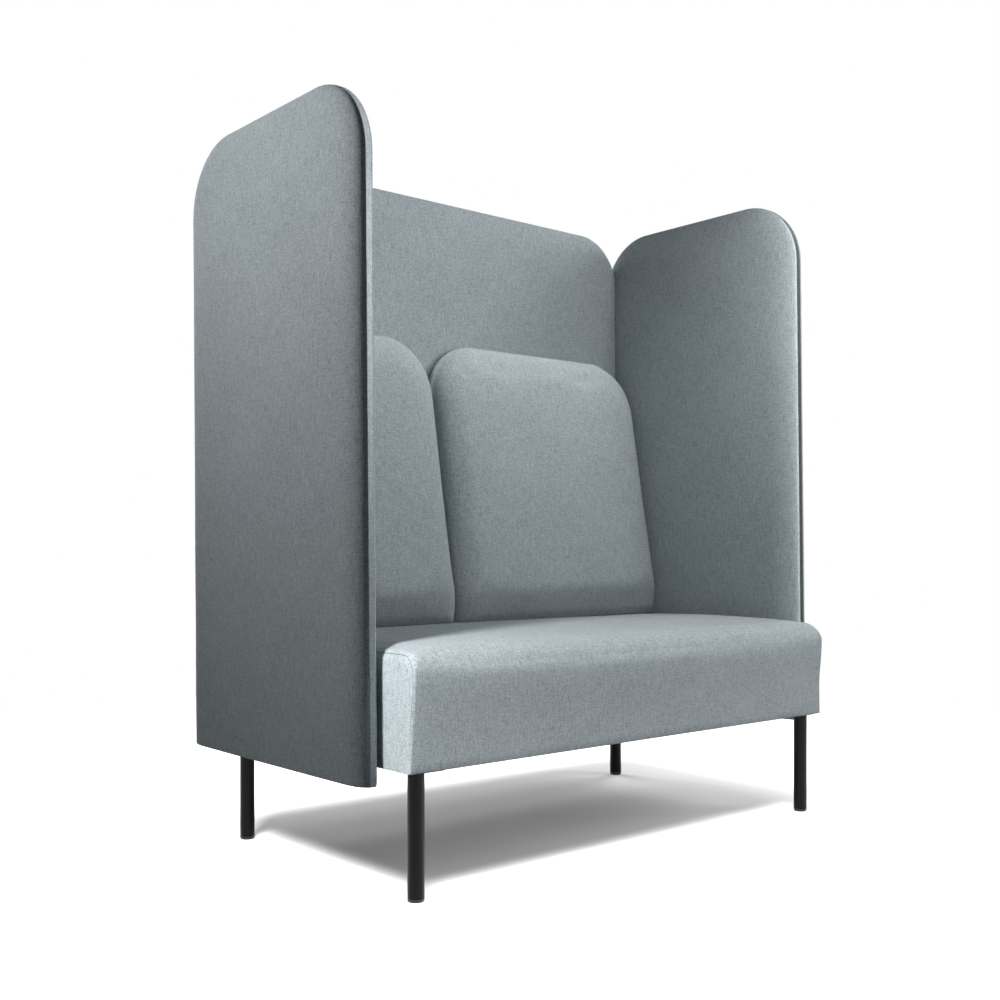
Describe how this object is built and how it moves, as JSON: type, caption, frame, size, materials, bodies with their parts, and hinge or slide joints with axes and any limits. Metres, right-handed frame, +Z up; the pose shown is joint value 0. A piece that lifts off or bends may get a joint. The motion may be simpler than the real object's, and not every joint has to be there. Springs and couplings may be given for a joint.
{
  "type": "high-back sofa",
  "caption": "High-back sofa with tall padded screen panels at the sides and back, a box seat, leaning back cushions and round steel legs.",
  "frame": {"origin": "on the floor, under the middle of the sofa's width and depth", "axes": "+Z up, -Y the way the sitter faces, +X to the right when looking at the sofa from the front"},
  "size_m": [1.286, 0.722, 1.446],
  "materials": {
    "fabric": "cool grey melange weave",
    "black_steel": "black satin powder coat",
    "black_plastic": "matt moulded",
    "plywood": "sanded plywood",
    "timber": "planed timber",
    "webbing": "elastic webbing",
    "dust_cloth": "black non-woven cloth",
    "zinc_steel": "zinc plated"
  },
  "bodies": {
    "root": {"left_panel_board": "plywood", "left_panel_outer_pad": "fabric", "left_panel_inner_pad": "fabric", "left_panel_edge_band": "fabric", "right_panel_board": "plywood", "right_panel_outer_pad": "fabric", "right_panel_inner_pad": "fabric", "right_panel_edge_band": "fabric", "back_panel_board": "plywood", "back_panel_outer_pad": "fabric", "back_panel_inner_pad": "fabric", "back_panel_edge_band": "fabric", "seat_cushion": "fabric", "back_cushion_left": "fabric", "back_cushion_right": "fabric", "back_cushion_board_left": "plywood", "back_cushion_board_right": "plywood", "rail_front": "timber", "rail_rear": "timber", "rail_left": "timber", "rail_right": "timber", "rail_centre": "timber", "corner_block_front_left": "timber", "corner_block_front_right": "timber", "corner_block_rear_left": "timber", "corner_block_rear_right": "timber", "seat_strap_1": "webbing", "seat_strap_2": "webbing", "seat_strap_3": "webbing", "seat_strap_4": "webbing", "dust_cover": "dust_cloth", "leg_front_left": "black_steel", "leg_front_right": "black_steel", "leg_rear_left": "black_steel", "leg_rear_right": "black_steel", "leg_plate_front_left": "black_steel", "leg_plate_front_right": "black_steel", "leg_plate_rear_left": "black_steel", "leg_plate_rear_right": "black_steel", "glide_front_left": "black_plastic", "glide_front_right": "black_plastic", "glide_rear_left": "black_plastic", "glide_rear_right": "black_plastic", "side_spacer_left_front": "black_plastic", "side_spacer_left_rear": "black_plastic", "side_spacer_right_front": "black_plastic", "side_spacer_right_rear": "black_plastic", "back_spacer_left": "black_plastic", "back_spacer_right": "black_plastic", "side_bolt_left_front": "zinc_steel", "side_bolt_left_rear": "zinc_steel", "side_bolt_right_front": "zinc_steel", "side_bolt_right_rear": "zinc_steel", "back_bolt_left": "zinc_steel", "back_bolt_right": "zinc_steel", "dowel_left_lower": "timber", "dowel_left_upper": "timber", "dowel_right_lower": "timber", "dowel_right_upper": "timber"}
  },
  "joints": []
}
